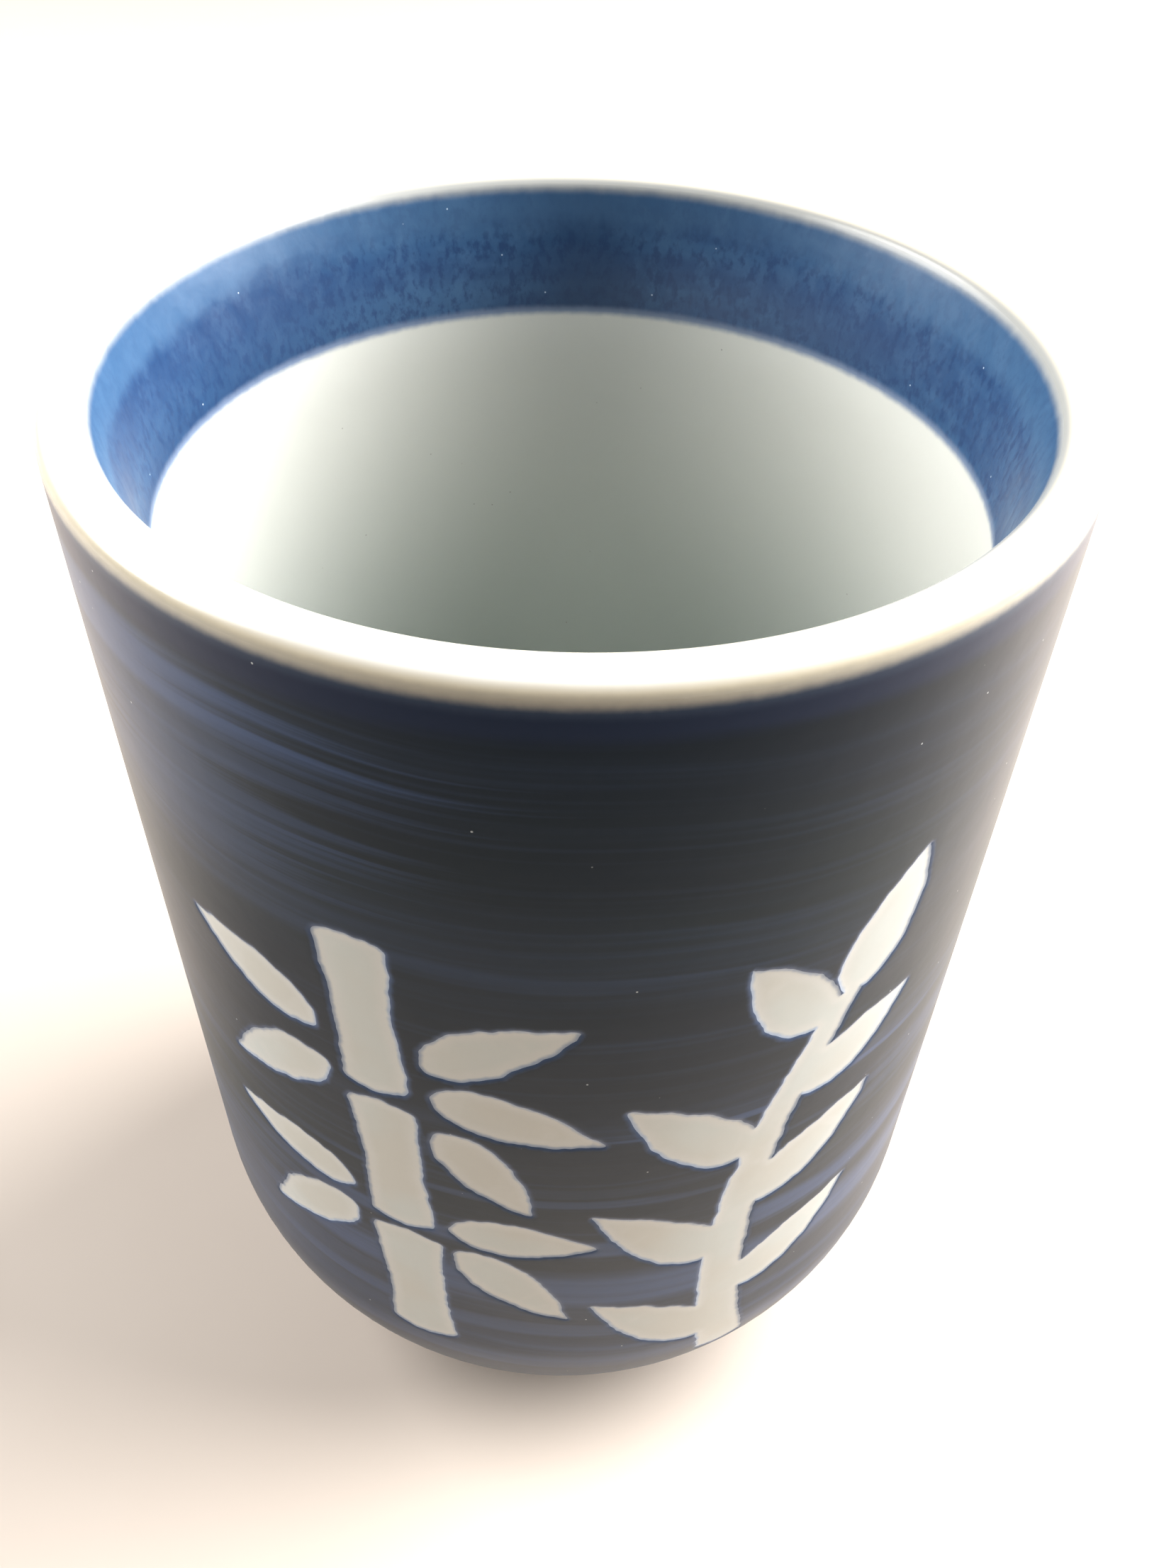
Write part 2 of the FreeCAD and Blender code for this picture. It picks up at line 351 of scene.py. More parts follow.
def bamboo():
    """A cane of three joints, with leaves at its rings."""
    return [
        cane(0.4, 24.6, -0.2, 41.5, 6.6),
        cane(-0.3, 43.9, -0.9, 60.3, 6.1),
        cane(-1.0, 62.7, -1.7, 79.0, 5.6),
        leaf(2.7, 66.5, 40, 13.0, 5.2, -0.16),
        leaf(2.9, 63.4, -10, 13.5, 5.4, -0.16),
        leaf(3.4, 58.9, -50, 12.5, 5.2, -0.1),
        leaf(-5.3, 67.4, 150, 12.5, 5.2, 0.12),
        leaf(-4.9, 63.2, 206, 13.0, 5.2, 0.12),
        leaf(-4.5, 46.2, 160, 12.5, 5.2, 0.16),
        leaf(-4.6, 43.0, 214, 14.0, 5.6, 0.12),
        leaf(3.6, 44.4, 4, 12.0, 5.2, -0.16),
        leaf(4.0, 41.1, -42, 14.0, 5.6, -0.1),
    ]


def spray():
    """A rising stem with alternate leaves and one at its tip."""
    return [
        stem([(1.5, 18.0), (-0.3, 31.0), (0.0, 46.0), (2.8, 60.0), (6.6, 70.5)], 4.8, 2.6),
        leaf(0.4, 24.0, 150, 15.5, 6.0, -0.12),
        leaf(0.0, 31.0, 30, 15.5, 6.0, 0.12),
        leaf(-0.2, 39.0, 148, 15.5, 6.0, -0.12),
        leaf(0.2, 46.0, 32, 15.0, 6.0, 0.12),
        leaf(0.8, 54.0, 146, 14.5, 6.0, -0.12),
        leaf(3.0, 60.0, 24, 12.5, 5.8, 0.12),
        leaf(5.4, 68.0, 136, 12.5, 5.8, -0.12),
        leaf(6.4, 70.0, 66, 14.0, 6.0, 0.05),
    ]


# ---------------------------------------------------------------- blue coat and its white figures

BAMBOO_DEG = -20.0  # middle of the left figure, round from the front
SPRAY_DEG = 23.0
RESERVE_STEP = 0.12  # mm that the white lies below the blue
STEP_ROUND = 0.16  # mm over which the step between them is rounded
OUTLINE_STEP = 0.22  # mm between points of a figure's edge
RAGGED = 0.085  # mm by which the hand-cut edge wanders
WANDER = ((0.85, 13), (0.45, 4))  # strength of the wandering, and how many points it is averaged over
RINGS = (0.14, 0.32, 0.6, 1.0)  # mm either side of an edge at which the mesh has points
FULL_RING = 0.5  # mm from an edge beyond which a ring has only every second point
RING_CLEARANCE = 0.85  # share of its own distance that a ring's point keeps from every edge
GRID = 2.0  # mm between points round the rest of the coat
GRID_CLEARANCE = 1.3  # mm that those keep from an edge
SAME_POINT = 1e-5  # mm below which two points of the sheet are one

# Share of each neighbour in a softened edge, and how many points along it lies.
SOFTENING = [(0.10, -3), (0.15, -2), (0.16, -1), (0.18, 0), (0.16, 1), (0.15, 2), (0.10, 3)]


def evenly(points, step):
    """A closed outline with points a step apart."""
    closed = np.vstack([points, points[:1]])
    length = np.concatenate([[0], np.cumsum(np.linalg.norm(np.diff(closed, axis=0), axis=1))])
    count = int(length[-1] / step)
    at = np.linspace(0, length[-1], count, endpoint=False)
    return np.stack([np.interp(at, length, closed[:, 0]), np.interp(at, length, closed[:, 1])], 1)


def softened(points):
    """A closed outline with its corners rounded by the glaze that crept over them."""
    return sum(share * np.roll(points, shift, 0) for share, shift in SOFTENING)


def outline_normals(points):
    """The way out at each point of an anticlockwise outline."""
    tangent = np.roll(points, -1, 0) - np.roll(points, 1, 0)
    tangent /= np.linalg.norm(tangent, axis=1)[:, None] + 1e-9
    return np.stack([tangent[:, 1], -tangent[:, 0]], 1)


def smooth_noise(count, window):
    """Noise round a loop, averaged over a window, with a spread of 1."""
    raw = rng.normal(size=count)
    kernel = np.hanning(window + 2)[1:-1]
    tiled = np.concatenate([raw[-window:], raw, raw[:window]])
    out = np.convolve(tiled, kernel / np.sqrt((kernel ** 2).sum()), "same")
    return out[window:-window]


def inside(points, outline):
    """Whether each point lies inside a closed outline."""
    x, y = points[:, 0], points[:, 1]
    result = np.zeros(len(points), bool)
    for (x0, y0), (x1, y1) in zip(outline, np.roll(outline, -1, 0)):
        crosses = (y0 > y) != (y1 > y)
        result ^= crosses & (x < x0 + (y - y0) * (x1 - x0) / ((y1 - y0) or 1e-12))
    return result


def drawn_figures(section, down):
    """The two figures' outlines on the unrolled skin, as distance round and distance down, ragged."""
    low_first = slice(None, None, -1)
    figures = []
    for shapes, degrees in ((bamboo(), BAMBOO_DEG), (spray(), SPRAY_DEG)):
        outlines = []
        for shape in shapes:
            s = np.interp(shape[:, 1], section[low_first, 1], down[low_first])
            r = np.interp(s, down, section[:, 0])
            turn = math.radians(degrees) + np.arcsin(shape[:, 0] / r)
            unrolled = np.stack([OUTER_R * turn, s], 1)
            line = softened(evenly(unrolled[::-1], OUTLINE_STEP))
            wander = sum(strength * smooth_noise(len(line), window) for strength, window in WANDER)
            outlines.append(line + RAGGED * wander[:, None] * outline_normals(line))
        figures.append(outlines)
    return figures


def free_edges(lines):
    """The outlines' points that lie in no other outline, and the way out at each."""
    points, normals = [], []
    for line in lines:
        free = np.ones(len(line), bool)
        for other in lines:
            if other is not line:
                free &= ~inside(line, other)
        points.append(line[free])
        normals.append(outline_normals(line)[free])
    return np.vstack(points), np.vstack(normals)


def distance_from(points):
    """A function that says how far each point of another list is from the nearest of these."""
    tree = KDTree(len(points))
    for i, (a, s) in enumerate(points):
        tree.insert((a, s, 0), i)
    tree.balance()
    return lambda others: np.array([tree.find((a, s, 0))[2] for a, s in others])


def meshed_sheet(lines, edge_points, edge_normals, nearest, down):
    """Points and triangles of the unrolled skin, finest along the figures' edges."""
    vertices, edges = [], []
    total = 0
    for line in lines:
        vertices.append(line)
        edges += [(total + i, total + (i + 1) % len(line)) for i in range(len(line))]
        total += len(line)
    for ring in RINGS:
        for side in (-1, 1):
            every = 1 if ring < FULL_RING else 2
            extra = (edge_points + side * ring * edge_normals)[::every]
            vertices.append(extra[nearest(extra) > RING_CLEARANCE * ring])
    half_turn = math.pi * OUTER_R
    columns = round(2 * half_turn / GRID)
    around = np.linspace(-half_turn, half_turn, columns + 1)
    grid = np.stack(np.meshgrid(around, down), -1).reshape(-1, 2)
    border = np.isclose(abs(grid[:, 0]), half_turn)
    border |= np.isclose(grid[:, 1], 0) | np.isclose(grid[:, 1], down[-1])
    vertices.append(grid[border | (nearest(grid) > GRID_CLEARANCE)])
    points = [Vector(v) for v in np.vstack(vertices).tolist()]
    flat = delaunay_2d_cdt(points, edges, [], 0, SAME_POINT, False)
    return np.array([tuple(v) for v in flat[0]]), np.array([tuple(f) for f in flat[2]])


def figure_numbers(sheet, triangles, figures):
    """The figure that each triangle is in, from 1, or 0 for the blue."""
    centres = sheet[triangles].mean(1)
    owner = np.zeros(len(triangles), int)
    for number, outlines in enumerate(figures, 1):
        for line in outlines:
            owner[inside(centres, line)] = number
    return owner


def closed_seam(sheet, triangles):
    """The triangles with the sheet's right border joined to its left one."""
    half_turn = math.pi * OUTER_R
    right = np.flatnonzero(np.isclose(sheet[:, 0], half_turn))
    left = np.flatnonzero(np.isclose(sheet[:, 0], -half_turn))
    alias = np.arange(len(sheet))
    for v in right:
        alias[v] = left[np.argmin(abs(sheet[left, 1] - sheet[v, 1]))]
    return alias[triangles]


def thick_piece(name, own, skin, back, distance, material):
    """Some of the skin's triangles as a closed piece that reaches in to the coat's back."""
    used, local = np.unique(own, return_inverse=True)
    local = local.reshape(-1, 3)
    count = len(used)
    sides = np.concatenate([local[:, [0, 1]], local[:, [1, 2]], local[:, [2, 0]]])
    seen = {tuple(pair) for pair in sides.tolist()}
    rim = [(a, b) for a, b in seen if (b, a) not in seen]
    wall = [(a, b, b + count, a + count) for a, b in rim]
    faces = local[:, ::-1].tolist() + (local + count).tolist() + wall
    crisp = {(min(a, b) + k, max(a, b) + k) for a, b in rim for k in (0, count)}
    points = np.vstack([skin[used], back[used]])
    edge = np.tile(distance[used], 2)
    make_piece(name + "_surface", points, faces, material, name, crisp, {"edge_mm": edge})


def wrapped_coat():
    """The blue coat and the two figures: one unrolled sheet, split along the figures' edges."""
    section = outside_section()
    step = np.linalg.norm(np.diff(section[:, :2], axis=0), axis=1)
    down = np.concatenate([[0], np.cumsum(step)])
    figures = drawn_figures(section, down)
    lines = [line for outlines in figures for line in outlines]
    edge_points, edge_normals = free_edges(lines)
    nearest = distance_from(edge_points)
    sheet, triangles = meshed_sheet(lines, edge_points, edge_normals, nearest, down)
    owner = figure_numbers(sheet, triangles, figures)
    distance = nearest(sheet)
    distance[np.unique(triangles[owner > 0])] *= -1
    triangles = closed_seam(sheet, triangles)

    turn = sheet[:, 0] / OUTER_R
    r, z, nr, nz = (np.interp(sheet[:, 1], down, section[:, i]) for i in range(4))

    def at_depth(depth):
        radius = r - depth * nr
        return np.stack([radius * np.sin(turn), -radius * np.cos(turn), z - depth * nz], 1)

    skin = at_depth(RESERVE_STEP * (0.5 - 0.5 * np.tanh(distance / STEP_ROUND)))
    back = at_depth(GLAZE)
    names = ("outer_cobalt_glaze", "bamboo_reserve", "leaf_spray_reserve")
    looks = (cobalt_glaze(), reserve_glaze("bamboo_white"), reserve_glaze("spray_white"))
    for number, (name, material) in enumerate(zip(names, looks)):
        thick_piece(name, triangles[owner == number], skin, back, distance, material)


# ---------------------------------------------------------------- materials

class Look:
    """A material being built: short calls for the nodes that it needs."""

    def __init__(self, name):
        self.material = bpy.data.materials.new(name)
        self.material.use_nodes = True
        self.tree = self.material.node_tree
        self.shader = self.tree.nodes["Principled BSDF"]
        self.where = self.node("ShaderNodeTexCoord").outputs["Object"]

    def node(self, kind, **values):
        made = self.tree.nodes.new(kind)
        for key, value in values.items():
            setattr(made, key, value)
        return made

    def feed(self, socket, value):
        if isinstance(value, bpy.types.NodeSocket):
            self.tree.links.new(value, socket)
        else:
            socket.default_value = value

    def maths(self, operation, a, b=0.0, c=0.0):
        made = self.node("ShaderNodeMath", operation=operation)
        for socket, value in zip(made.inputs, (a, b, c)):
            self.feed(socket, value)
        return made.outputs[0]

    def shifted(self, value, noise, amount):
        """value moved on by a share of some noise."""
        return self.maths("MULTIPLY_ADD", noise, amount, value)

    def stretched(self, scale):
        """Object coordinates scaled per axis, in parts per metre."""
        made = self.node("ShaderNodeMapping")
        made.inputs["Scale"].default_value = scale
        self.feed(made.inputs["Vector"], self.where)
        return made.outputs[0]

    def cloud(self, vector, scale=1.0, detail=3.0, roughness=0.5, distortion=0.0):
        made = self.node("ShaderNodeTexNoise")
        self.feed(made.inputs["Vector"], vector)
        numbers = {"Scale": scale, "Detail": detail, "Roughness": roughness, "Distortion": distortion}
        for key, value in numbers.items():
            made.inputs[key].default_value = value
        return made.outputs["Fac"]

    def ramp(self, value, low, high, to_low=0.0, to_high=1.0):
        """value brought smoothly from low..high to to_low..to_high, held beyond."""
        made = self.node("ShaderNodeMapRange", interpolation_type="SMOOTHSTEP")
        for socket, number in zip(made.inputs[:5], (value, low, high, to_low, to_high)):
            self.feed(socket, number)
        return made.outputs[0]

    def mix(self, share, a, b):
        made = self.node("ShaderNodeMix", data_type="RGBA")
        self.feed(made.inputs["Factor"], share)
        for socket, value in ((made.inputs[6], a), (made.inputs[7], b)):
            self.feed(socket, (*value, 1.0) if isinstance(value, tuple) else value)
        return made.outputs[2]

    def axes(self):
        made = self.node("ShaderNodeSeparateXYZ")
        self.feed(made.inputs[0], self.where)
        return made.outputs["X"], made.outputs["Y"], made.outputs["Z"]

    def round_deg(self, x, y):
        """Degrees round the axis from the front, towards +X."""
        angle = self.maths("ARCTAN2", x, self.maths("MULTIPLY", y, -1.0))
        return self.maths("MULTIPLY", angle, 180 / math.pi)

    def off_deg(self, degrees, middle):
        """Degrees away from a middle, either way round."""
        off = self.maths("WRAP", self.maths("SUBTRACT", degrees, middle), 180, -180)
        return self.maths("ABSOLUTE", off)

    def edge(self):
        """mm from the nearest edge of a figure, less than 0 within it."""
        return self.node("ShaderNodeAttribute", attribute_name="edge_mm").outputs["Fac"]

    def finish(self, colour, roughness, bump, strength, distance):
        """The finished material; distance is the bump's height in metres."""
        self.feed(self.shader.inputs["Base Color"], colour)
        self.feed(self.shader.inputs["Roughness"], roughness)
        made = self.node("ShaderNodeBump")
        made.inputs["Strength"].default_value = strength
        made.inputs["Distance"].default_value = distance
        self.feed(made.inputs["Height"], bump)
        self.feed(self.shader.inputs["Normal"], made.outputs[0])
        return self.material


# Specks: cells of glaze per metre, and the radii, in cells, at which a grain ends and is at its palest.
SPECK_CELLS = 330
SPECK_END = 0.034
SPECK_HEART = 0.014

# How far the outside's brush strokes drop per metre towards +X, and how far in metres they waver.
TILT = 0.035
WAVER = 0.004

# Grain of the ragged borders between colours, in parts per metre.
EDGE_GRAIN = 1500
LIP_GRAIN = 1300
BAND_GRAIN = 1100

# How far in metres the border of the lip and that under the band waver.
LIP_FUZZ = 0.00016
BAND_FUZZ = 0.00024

# Heights in metres of the borders between coats, each raised by half of what its noise adds.
BLUE_TOP = BLUE_TOP_Z * MM + 0.00008
BAND_TOP = BAND_TOP_Z * MM + 0.00015
BAND_LOW = BAND_Z * MM + 0.00012

# Colours at which two coats meet, so that one runs softly into the other.
COBALT_TO_LIP = (0.50, 0.465, 0.385)
LIP_TO_BAND = (0.42, 0.42, 0.40)
BAND_TO_LINER = (0.20, 0.25, 0.35)

# Cobalt outside: two darks, a greener dark, hairs of the brush, the thinner coat low down, bare streaks,
# and the paler rims under the lip and round the figures.
COBALT_DARK = (0.0062, 0.0122, 0.0215)
COBALT_DEEP = (0.0090, 0.0160, 0.0275)
COBALT_GREEN = (0.0080, 0.0175, 0.0205)
COBALT_HAIR = (0.0190, 0.0330, 0.0620)
COBALT_LOW = (0.0280, 0.0420, 0.0730)
COBALT_STREAK = (0.045, 0.076, 0.158)
COBALT_UNDER_LIP = (0.0110, 0.0200, 0.0520)
COBALT_RIM = (0.050, 0.082, 0.160)
COBALT_TOP = (0.050, 0.072, 0.115)
COBALT_IOR = 1.62
COBALT_SHEEN = (0.045, 0.085, 0.125, 1)  # tint of its reflection where it is seen square on

# The figures' white: cool and warm patches, their paler rim and its blue edge.
RESERVE_COOL = (0.522, 0.552, 0.530)
RESERVE_WARM = (0.528, 0.528, 0.486)
RESERVE_RIM = (0.575, 0.580, 0.555)
RESERVE_EDGE = (0.30, 0.36, 0.45)

LIP_WHITE = (0.86, 0.86, 0.84)
LIP_SHADE = (0.83, 0.82, 0.79)
# Cream round the lip's outer rounding: thinner glaze, and partly painted shade where that rounding gets
# less light.
LIP_CREAM_AND_SHADE_OUT = (0.66, 0.59, 0.44)
LIP_CREAM_IN = (0.72, 0.65, 0.52)

# The band inside: two washes, pale mottling, dark grain, painted shade and the paler turn along its top.
BAND_WASH = (0.030, 0.080, 0.188)
BAND_THIN = (0.045, 0.115, 0.232)
BAND_MOTTLE = (0.066, 0.148, 0.272)
BAND_DARK = (0.022, 0.060, 0.158)
BAND_PAINTED_SHADE = (0.018, 0.049, 0.122)
BAND_TURN = (0.078, 0.158, 0.270)

LINER_WHITE = (0.676, 0.670, 0.620)
LINER_SHADE = (0.662, 0.657, 0.606)
# Painted shade of the deep inside: darker, and green like light bounced round the cup.
LINER_PAINTED_SHADE = (0.572, 0.605, 0.566)

WELL_WHITE = (0.72, 0.75, 0.75)
WELL_SHADE = (0.62, 0.68, 0.72)

CLAY = (0.60, 0.54, 0.45)
CLAY_PALE = (0.70, 0.66, 0.59)
CLAY_SCUFF = (0.42, 0.37, 0.31)

GRAIN = (0.46, 0.49, 0.50)
BAND_SPECK = (0.50, 0.58, 0.68)
LINER_SPECK = (0.42, 0.40, 0.37)

# Single brush strokes on the outside: height in mm, half its width, middle and half its spread in degrees
# round from the front, and strength.
STROKES = [
    (97.0, 2.4, -54, 44, 0.95),
    (93.0, 5.0, -64, 34, 0.40),
    (31.0, 7.0, -42, 40, 0.35),
    (89.0, 6.5, -44, 30, 0.55),
    (80.5, 1.1, -20, 50, 0.35),
    (62.5, 0.6, 30, 32, 0.9),
    (52.5, 0.5, -5, 44, 0.55),
    (45.5, 1.2, 10, 80, 0.9),
    (38.0, 2.8, 12, 76, 1.0),
    (31.0, 1.2, -20, 60, 0.7),
    (24.0, 1.6, 5, 70, 0.7),
    (57.0, 2.4, 62, 34, 0.45),
    (72.0, 1.8, 118, 54, 0.4),
    (50.0, 2.8, 172, 60, 0.5),
    (86.0, 1.6, -150, 58, 0.4),
    (35.0, 2.2, -110, 64, 0.6),
    (28.5, 1.2, 150, 70, 0.5),
    (63.0, 1.0, -140, 50, 0.5),
]

# Painted shade on the inner band, darkest at its back and left: middle and half its spread in degrees
# round from the front, and strength.
BAND_SHADE_PATCHES = [(180, 14, 0.7), (-118, 34, 0.6), (-82, 34, 0.35), (122, 36, 0.3), (12, 60, 0.4)]


def orange_peel(look):
    """The faint unevenness of a fired glaze."""
    return look.cloud(look.where, 420, detail=2, roughness=0.45)


def specks(look, colour, grain):
    """A few pale grains and pinholes about 0.2 mm across."""
    cells = look.node("ShaderNodeTexVoronoi", feature="F1")
    look.feed(cells.inputs["Vector"], look.where)
    cells.inputs["Scale"].default_value = SPECK_CELLS
    return look.mix(look.ramp(cells.outputs["Distance"], SPECK_END, SPECK_HEART), colour, grain)


def brushed(look, around, up, tilt=0.0, waver=0.0):
    """Coordinates for strokes that run round the cup, in parts per metre round it and up it."""
    x, y, z = look.axes()
    height = look.maths("MULTIPLY_ADD", x, tilt, z)
    if waver:
        height = look.shifted(height, look.cloud(look.where, 30, detail=1), waver)
    made = look.node("ShaderNodeCombineXYZ")
    look.feed(made.inputs["X"], look.maths("MULTIPLY", x, around))
    look.feed(made.inputs["Y"], look.maths("MULTIPLY", y, around))
    look.feed(made.inputs["Z"], look.maths("MULTIPLY", height, up))
    return made.outputs[0]


def streaks(look, x, y, z, hairs, bands, patches):
    """How thin the brushed cobalt is, from 0 to 1: fine streaks, and the single strokes over them."""
    low = look.ramp(z, 0.085, 0.03, 0.25, 1.0)
    thin = look.ramp(look.shifted(bands, hairs, 0.3), 0.60, 0.92)
    patchy = look.maths("MULTIPLY", low, look.ramp(patches, 0.35, 0.6, 0.35, 1.0))
    thin = look.maths("MULTIPLY", thin, patchy)
    frayed = look.shifted(look.maths("MULTIPLY_ADD", x, TILT, z), hairs, 0.0010)
    frayed = look.shifted(frayed, bands, 0.003)
    dry = look.cloud(brushed(look, 9, 900, TILT, WAVER), detail=3, roughness=0.6)
    dry = look.maths("MULTIPLY_ADD", dry, 90, -45)
    round_deg = look.round_deg(x, y)
    for height, half, middle, spread, strength in STROKES:
        off = look.maths("ABSOLUTE", look.maths("SUBTRACT", frayed, height * MM))
        turn = look.maths("ADD", look.off_deg(round_deg, middle), dry)
        across = look.ramp(off, half * 1.4 * MM, half * 0.5 * MM)
        along = look.ramp(turn, spread, spread * 0.3, 0.0, strength)
        thin = look.maths("MAXIMUM", thin, look.maths("MULTIPLY", across, along))
    return look.maths("MULTIPLY", thin, look.ramp(hairs, 0.3, 0.7, 0.80, 1.0))


def cobalt_glaze():
    """Near-black cobalt brushed round the cup, bluer where the brush ran thin and along every edge."""
    look = Look("cobalt_glaze")
    x, y, z = look.axes()
    hairs = look.cloud(brushed(look, 16, 1300, TILT, WAVER), detail=1)
    bands = look.cloud(brushed(look, 15, 190, TILT, WAVER), detail=3)
    patches = look.cloud(brushed(look, 20, 42), detail=2)
    colour = look.mix(look.ramp(bands, 0.3, 0.7), COBALT_DARK, COBALT_DEEP)
    colour = look.mix(look.ramp(patches, 0.42, 0.66, 0.0, 0.8), colour, COBALT_GREEN)
    colour = look.mix(look.ramp(hairs, 0.50, 0.85, 0.0, 0.5), colour, COBALT_HAIR)
    low = look.ramp(look.shifted(z, bands, 0.012), 0.048, 0.016, 0.0, 0.75)
    colour = look.mix(low, colour, COBALT_LOW)
    colour = look.mix(streaks(look, x, y, z, hairs, bands, patches), colour, COBALT_STREAK)

    under_lip = look.ramp(look.shifted(z, bands, 0.0025), 0.0993, 0.1007)
    colour = look.mix(under_lip, colour, COBALT_UNDER_LIP)
    border = look.shifted(look.edge(), look.cloud(look.where, EDGE_GRAIN, detail=2), 0.3)
    colour = look.mix(look.ramp(border, 0.68, 0.12), colour, COBALT_RIM)
    fuzz = look.shifted(z, look.cloud(look.where, LIP_GRAIN, detail=2), LIP_FUZZ)
    colour = look.mix(look.ramp(fuzz, BLUE_TOP - 0.0016, BLUE_TOP - 0.0003), colour, COBALT_TOP)
    colour = look.mix(look.ramp(fuzz, BLUE_TOP - 0.0009, BLUE_TOP + 0.0001), colour, COBALT_TO_LIP)
    colour = specks(look, colour, GRAIN)
    look.shader.inputs["IOR"].default_value = COBALT_IOR
    look.shader.inputs["Specular Tint"].default_value = COBALT_SHEEN
    return look.finish(colour, look.ramp(patches, 0.3, 0.7, 0.29, 0.33), orange_peel(look), 0.2, 0.00008)


def reserve_glaze(name):
    """White showing in a figure, warm and cool in patches, paler and then blue at its edge."""
    look = Look(name)
    tone = look.cloud(look.where, 75, detail=3)
    colour = look.mix(look.ramp(tone, 0.38, 0.62), RESERVE_COOL, RESERVE_WARM)
    border = look.shifted(look.edge(), look.cloud(look.where, EDGE_GRAIN, detail=2), 0.3)
    colour = look.mix(look.ramp(border, -1.3, -0.25, 0.0, 0.8), colour, RESERVE_RIM)
    colour = look.mix(look.ramp(border, -0.26, 0.13), colour, RESERVE_EDGE)
    return look.finish(colour, look.ramp(tone, 0.3, 0.7, 0.29, 0.36), orange_peel(look), 0.2, 0.0001)


def lip_glaze():
    """White lip, cream where the glaze thins towards the blue on either side; its outer cream is partly
    painted shade.
    """
    look = Look("lip_glaze")
    x, y, z = look.axes()
    flat = look.node("ShaderNodeCombineXYZ")
    look.feed(flat.inputs["X"], x)
    look.feed(flat.inputs["Y"], y)
    length = look.node("ShaderNodeVectorMath", operation="LENGTH")
    look.feed(length.inputs[0], flat.outputs[0])
    reach = length.outputs["Value"]
    # Thinning glaze mixed with painted shade: cream towards the lip's outer edge.
    outer_cream_and_shade = look.ramp(reach, (OUTER_R - 0.9) * MM, OUTER_R * MM)
    tone = look.cloud(look.where, 160, detail=2)
    white = look.mix(look.ramp(tone, 0.3, 0.7), LIP_WHITE, LIP_SHADE)
    colour = look.mix(outer_cream_and_shade, white, LIP_CREAM_AND_SHADE_OUT)
    fuzz = look.shifted(z, look.cloud(look.where, LIP_GRAIN, detail=2), LIP_FUZZ)
    colour = look.mix(look.ramp(fuzz, BLUE_TOP + 0.0005, BLUE_TOP), colour, COBALT_TO_LIP)
    thinned = look.ramp(reach, (LIP_IN_CENTRE_R + 0.5) * MM, (LIP_IN_CENTRE_R - 0.3) * MM)
    colour = look.mix(thinned, colour, LIP_CREAM_IN)
    inwards = look.ramp(reach, (LIP_IN_CENTRE_R - 0.35) * MM, (LIP_IN_CENTRE_R - 0.92) * MM)
    colour = look.mix(inwards, colour, LIP_TO_BAND)
    return look.finish(colour, look.ramp(tone, 0.3, 0.7, 0.19, 0.26), orange_peel(look), 0.2, 0.0001)


def band_glaze():
    """Mid cobalt inside the mouth, grained by the brush, with a paler turn along its top."""
    look = Look("band_glaze")
    x, y, z = look.axes()
    round_deg = look.round_deg(x, y)
    felt = look.cloud(look.stretched((1500, 1500, 900)), roughness=0.6)
    mottle = look.cloud(look.stretched((520, 520, 420)), detail=4, roughness=0.6, distortion=0.4)
    wash = look.cloud(brushed(look, 26, 330, waver=0.002), roughness=0.55)
    clouds = look.cloud(look.where, 85, roughness=0.55)
    colour = look.mix(look.ramp(wash, 0.36, 0.64), BAND_WASH, BAND_THIN)
    colour = look.mix(look.ramp(mottle, 0.42, 0.72, 0.0, 0.55), colour, BAND_MOTTLE)
    colour = look.mix(look.ramp(felt, 0.44, 0.66, 0.0, 0.85), colour, BAND_DARK)
    # Painted shade: the band darkened round its back and left, where it lies in shade.
    for middle, spread, strength in BAND_SHADE_PATCHES:
        blurred = look.shifted(look.off_deg(round_deg, middle), clouds, 22)
        share = look.ramp(blurred, spread + 16, spread * 0.3 + 6, 0.0, strength)
        colour = look.mix(share, colour, BAND_PAINTED_SHADE)
    turn = look.shifted(look.shifted(z, clouds, 0.0026), wash, 0.0026)
    turn = look.ramp(look.shifted(turn, mottle, 0.0010), 0.1013, 0.1034, 0.0, 0.6)
    colour = look.mix(turn, colour, BAND_TURN)
    top = look.ramp(look.shifted(z, mottle, 0.0003), BAND_TOP - 0.0009, BAND_TOP + 0.0001)
    colour = look.mix(top, colour, LIP_TO_BAND)
    fuzz = look.shifted(z, look.cloud(look.where, BAND_GRAIN, detail=2), BAND_FUZZ)
    colour = look.mix(look.ramp(fuzz, BAND_LOW + 0.0007, BAND_LOW - 0.0001), colour, BAND_TO_LINER)
    colour = specks(look, colour, BAND_SPECK)
    bump = look.maths("ADD", mottle, orange_peel(look))
    return look.finish(colour, look.ramp(mottle, 0.3, 0.7, 0.29, 0.38), bump, 0.2, 0.0001)


def liner_glaze():
    """White inside, with painted shade that turns it darker and faintly green lower down, and a breath of
    blue under the band.
    """
    look = Look("liner_glaze")
    z = look.axes()[2]
    tone = look.cloud(look.where, 38, detail=2)
    colour = look.mix(look.ramp(tone, 0.2, 0.8), LINER_WHITE, LINER_SHADE)
    # Painted shade: darker and greener from 90 mm down to 50 mm.
    colour = look.mix(look.ramp(z, 0.090, 0.050), colour, LINER_PAINTED_SHADE)
    fuzz = look.shifted(z, look.cloud(look.where, BAND_GRAIN, detail=2), BAND_FUZZ)
    colour = look.mix(look.ramp(fuzz, BAND_LOW - 0.0006, BAND_LOW + 0.0001), colour, BAND_TO_LINER)
    colour = specks(look, colour, LINER_SPECK)
    return look.finish(colour, look.ramp(tone, 0.2, 0.8, 0.29, 0.36), orange_peel(look), 0.15, 0.0001)


